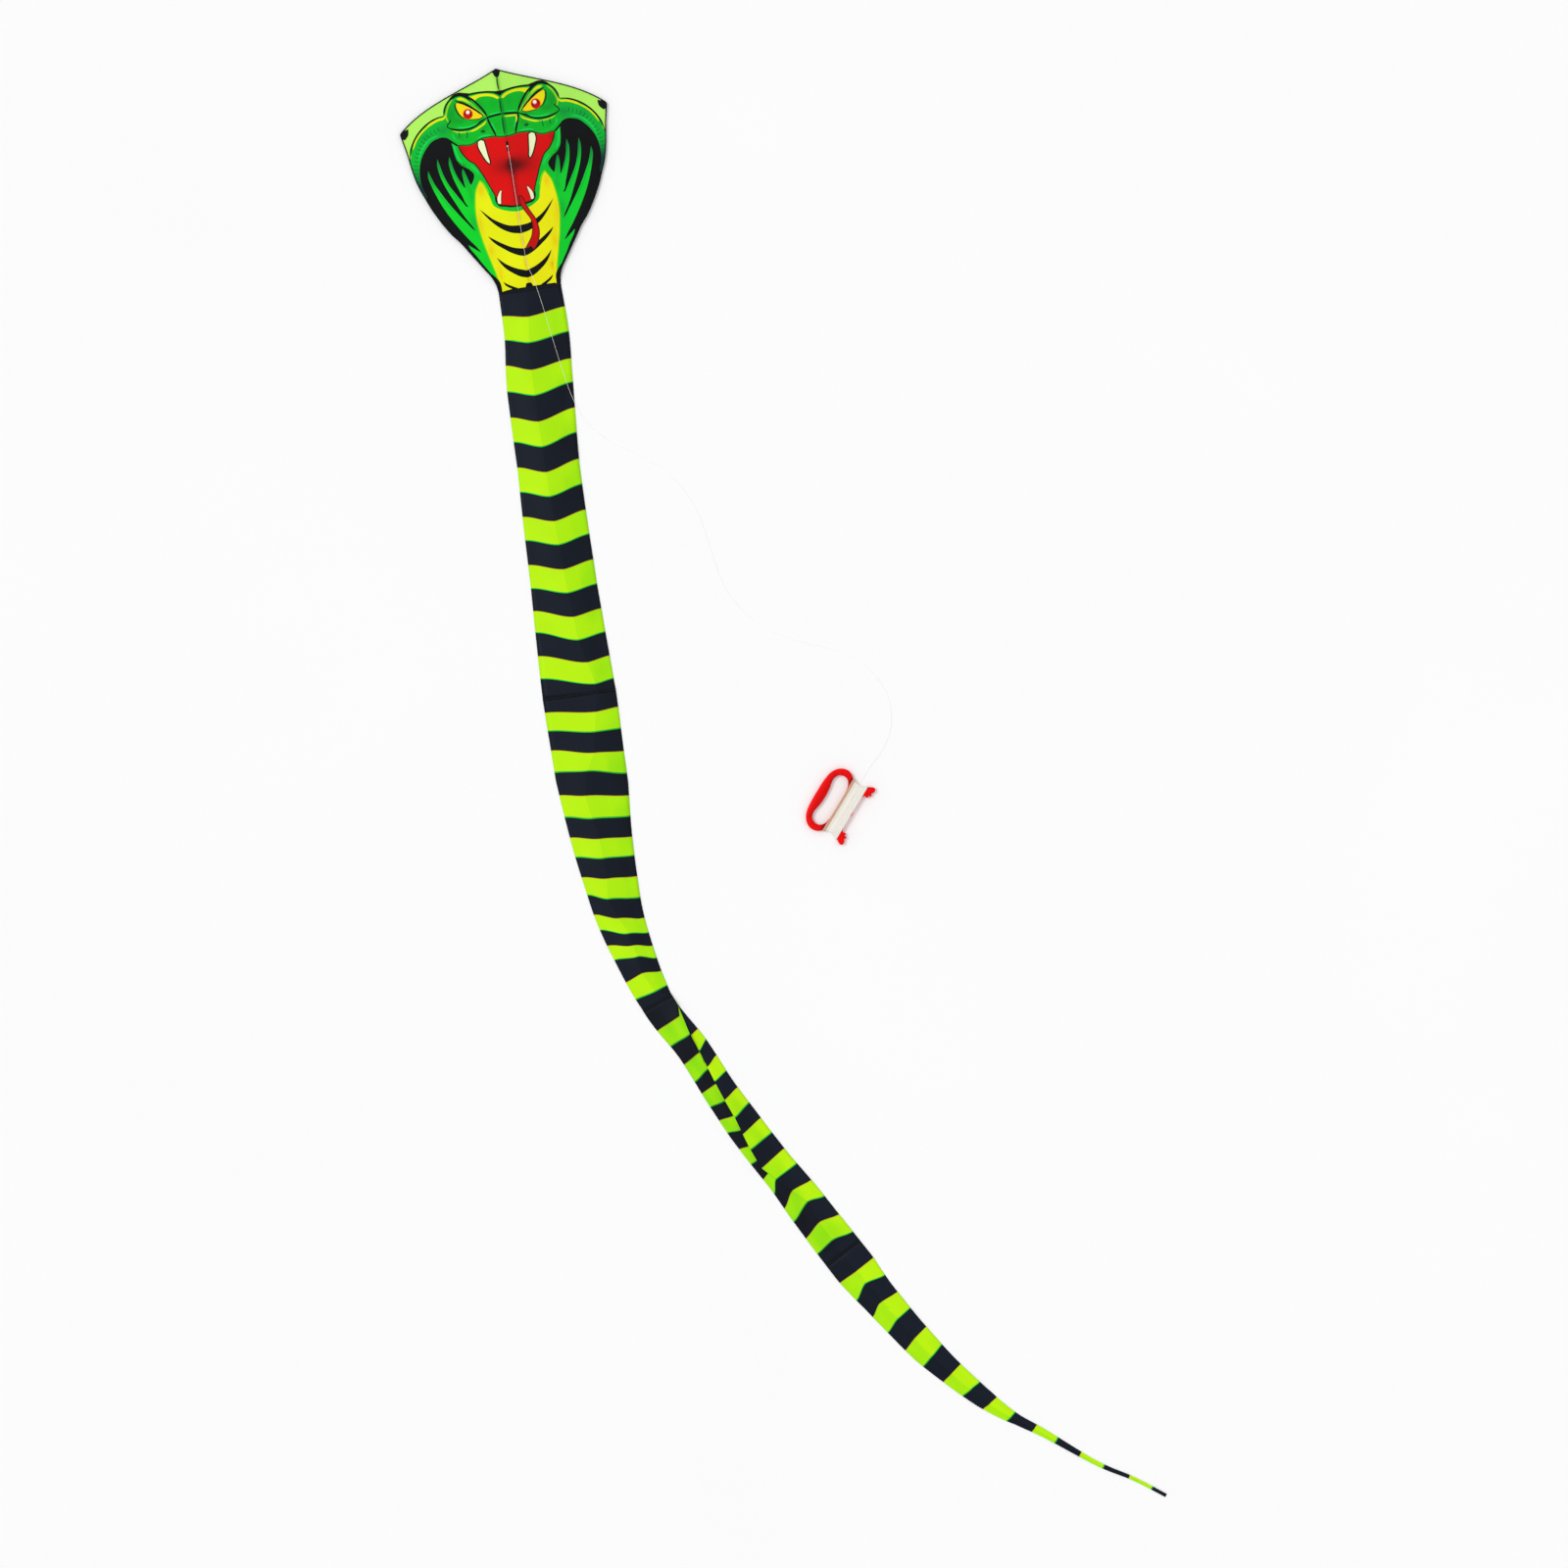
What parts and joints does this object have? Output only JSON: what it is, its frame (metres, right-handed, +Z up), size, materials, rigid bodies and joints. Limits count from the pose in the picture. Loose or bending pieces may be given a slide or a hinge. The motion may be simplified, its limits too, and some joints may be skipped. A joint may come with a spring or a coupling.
{
  "type": "cobra kite",
  "caption": "Snake kite laid flat: printed cobra hood on a spine and folding half spars, long striped tapering tail, flying line and hand winder.",
  "frame": {"origin": "on the ground, under the middle of the laid-out kite's footprint", "axes": "+Y along the spine towards the nose, +X to the right seen from above, +Z up out of the printed side"},
  "size_m": [1.6791, 4.6303, 0.0311],
  "materials": {
    "ripstop_print": "printed ripstop nylon",
    "ripstop_tail": "printed ripstop nylon",
    "black_tape": "woven binding tape",
    "fibreglass": "pultruded rod",
    "vinyl": "soft vinyl",
    "brass": "rolled eyelet",
    "red_plastic": "moulded",
    "line": "twisted polyester line"
  },
  "bodies": {
    "frame": {"spine_rod": "fibreglass", "nose_cap": "vinyl", "neck_cap": "vinyl", "spar_hub": "vinyl", "spine_sleeve_lower": "ripstop_print", "spine_sleeve_upper": "ripstop_print", "centre_binding": "black_tape", "neck_panel": "ripstop_print", "neck_pocket": "black_tape", "nose_pocket": "black_tape", "tow_patch": "black_tape", "tow_eyelet": "brass", "line_knot": "line", "flying_line": "line", "neck_seam": "black_tape", "tail_panel_1": "ripstop_tail", "tail_seam_1": "black_tape"},
    "left_wing": {"hood_panel_left": "ripstop_print", "top_binding_left": "black_tape", "side_binding_left": "black_tape", "tip_pocket_left": "black_tape", "cross_spar_left": "fibreglass", "spar_socket_left": "vinyl", "tip_cap_left": "vinyl"},
    "right_wing": {"hood_panel_right": "ripstop_print", "top_binding_right": "black_tape", "side_binding_right": "black_tape", "tip_pocket_right": "black_tape", "cross_spar_right": "fibreglass", "spar_socket_right": "vinyl", "tip_cap_right": "vinyl"},
    "tail_2": {"tail_panel_2": "ripstop_tail", "tail_seam_2": "black_tape"},
    "tail_3": {"tail_panel_3": "ripstop_tail", "tail_seam_3": "black_tape"},
    "tail_4": {"tail_panel_4": "ripstop_tail", "tail_tip": "black_tape"},
    "winder": {"winder_frame": "red_plastic", "line_winding": "line"}
  },
  "joints": [
    {"name": "left_wing_fold", "type": "hinge", "parent": "frame", "child": "left_wing", "pos_m": [-0.5216, 1.6401, 0.0085], "axis": [0, 1, 0], "range_deg": [0, 60]},
    {"name": "right_wing_fold", "type": "hinge", "parent": "frame", "child": "right_wing", "pos_m": [-0.5216, 1.6401, 0.0085], "axis": [0, -1, 0], "range_deg": [0, 60]},
    {"name": "tail_fold_1", "type": "hinge", "parent": "frame", "child": "tail_2", "pos_m": [-0.56247, 0.38723, 0.0006], "axis": [-1, 0.0099, 0], "range_deg": [0, 75]},
    {"name": "tail_fold_2", "type": "hinge", "parent": "tail_2", "child": "tail_3", "pos_m": [-0.47071, -0.58259, 0.0006], "axis": [-0.9273, -0.3742, 0], "range_deg": [0, 75]},
    {"name": "tail_fold_3", "type": "hinge", "parent": "tail_3", "child": "tail_4", "pos_m": [-0.02658, -1.42593, 0.0006], "axis": [-0.8713, -0.4908, 0], "range_deg": [0, 75]},
    {"name": "winder_lift", "type": "slide", "parent": "frame", "child": "winder", "axis": [0, 0, 1], "range_m": [0, 0.3]}
  ]
}
